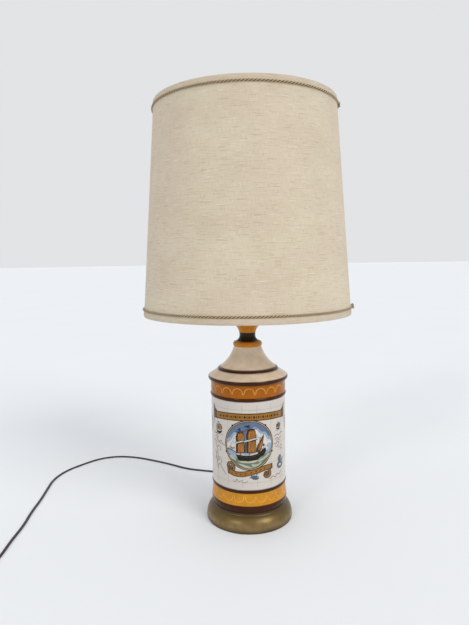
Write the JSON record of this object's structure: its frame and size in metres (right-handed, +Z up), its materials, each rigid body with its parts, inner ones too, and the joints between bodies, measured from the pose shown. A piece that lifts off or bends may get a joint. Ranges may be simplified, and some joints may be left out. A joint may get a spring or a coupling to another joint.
{
  "type": "table lamp",
  "caption": "Tall table lamp: glazed ceramic drum body on a flared brass base, with a harp, screw socket, bulb, tapered drum shade and mains cord.",
  "frame": {"origin": "centre of the base's underside, on the surface the lamp stands on", "axes": "+Z up along the lamp's axis; -Y is the decorated front and the switch's side; the cord leaves at the back, towards +Y"},
  "size_m": [0.7455, 0.5739, 0.8399],
  "materials": {
    "antique_brass": "antiqued satin brass, darker in the hollows",
    "bright_brass": "satin brass",
    "felt": "glued felt",
    "glazed_ceramic": "glossy glazed earthenware, cream drum with amber bands and dark brown rings",
    "zinc_steel": "zinc plated",
    "bakelite": "black moulded phenolic",
    "fibre_sleeve": "grey-brown fibre board",
    "screw_shell_metal": "drawn aluminium",
    "bulb_glass": "frosted inside",
    "filament": "tungsten wire",
    "black_glass": "black vitrite",
    "linen": "slubbed oatmeal linen",
    "shade_liner": "white styrene",
    "trim_tape": "woven beige tape",
    "braid": "twisted dark brown and gold cord",
    "white_wire": "white enamelled wire",
    "cord_vinyl": "dark brown vinyl, satin"
  },
  "bodies": {
    "lamp": {"brass_base": "antique_brass", "felt_pad": "felt", "cord_strain_relief": "cord_vinyl", "ceramic_body": "glazed_ceramic", "lamp_pipe": "zinc_steel", "base_flat_washer": "zinc_steel", "base_lock_washer": "zinc_steel", "base_nut": "zinc_steel", "vase_cap": "bright_brass", "riser_tube": "bright_brass", "stem_nut": "bright_brass", "harp_saddle": "bright_brass", "socket_cap": "bright_brass", "socket_shell": "bright_brass", "insulating_sleeve": "fibre_sleeve", "socket_interior": "bakelite", "screw_shell": "screw_shell_metal", "centre_contact": "bright_brass", "terminal_screws": "bright_brass", "inner_cord": "cord_vinyl", "lead_wires": "cord_vinyl", "power_cord": "cord_vinyl", "cord_coil": "cord_vinyl", "plug_body": "cord_vinyl", "plug_blades": "bright_brass"},
    "switch": {"switch_stem": "zinc_steel", "switch_knob": "bakelite"},
    "bulb": {"bulb_contact": "zinc_steel", "bulb_insulator": "black_glass", "bulb_screw_base": "screw_shell_metal", "bulb_glass": "bulb_glass", "bulb_stem": "bulb_glass", "bulb_filament": "filament"},
    "harp": {"harp": "bright_brass"},
    "sleeve_left": {"harp_sleeve_left": "bright_brass"},
    "sleeve_right": {"harp_sleeve_right": "bright_brass"},
    "stud": {"harp_stud": "bright_brass"},
    "shade": {"shade_liner": "shade_liner", "shade_fabric": "linen", "bottom_tape": "trim_tape", "top_tape": "trim_tape", "bottom_braid": "braid", "top_braid": "braid", "shade_bottom_ring": "white_wire", "shade_top_ring": "white_wire", "shade_spider": "white_wire"},
    "finial": {"finial": "bright_brass"}
  },
  "joints": [
    {"name": "switch_turn", "type": "hinge", "parent": "lamp", "child": "switch", "pos_m": [0, -0.03, 0.505], "axis": [0, -1, 0], "continuous": true},
    {"name": "bulb_turn", "type": "hinge", "parent": "lamp", "child": "bulb", "pos_m": [0, 0, 0.53], "axis": [0, 0, 1], "continuous": true},
    {"name": "harp_lift", "type": "slide", "parent": "lamp", "child": "harp", "axis": [0, 0, 1], "range_m": [0, 0.22]},
    {"name": "sleeve_left_slide", "type": "slide", "parent": "harp", "child": "sleeve_left", "axis": [0, 0, 1], "range_m": [0, 0.016]},
    {"name": "sleeve_right_slide", "type": "slide", "parent": "harp", "child": "sleeve_right", "axis": [0, 0, 1], "range_m": [0, 0.016]},
    {"name": "shade_swivel", "type": "hinge", "parent": "harp", "child": "stud", "pos_m": [0, 0, 0.805], "axis": [0, 0, 1], "continuous": true},
    {"name": "shade_lift", "type": "slide", "parent": "stud", "child": "shade", "axis": [0, 0, 1], "range_m": [0, 0.42]},
    {"name": "finial_turn", "type": "hinge", "parent": "shade", "child": "finial", "pos_m": [0, 0, 0.82], "axis": [0, 0, 1], "continuous": true}
  ]
}
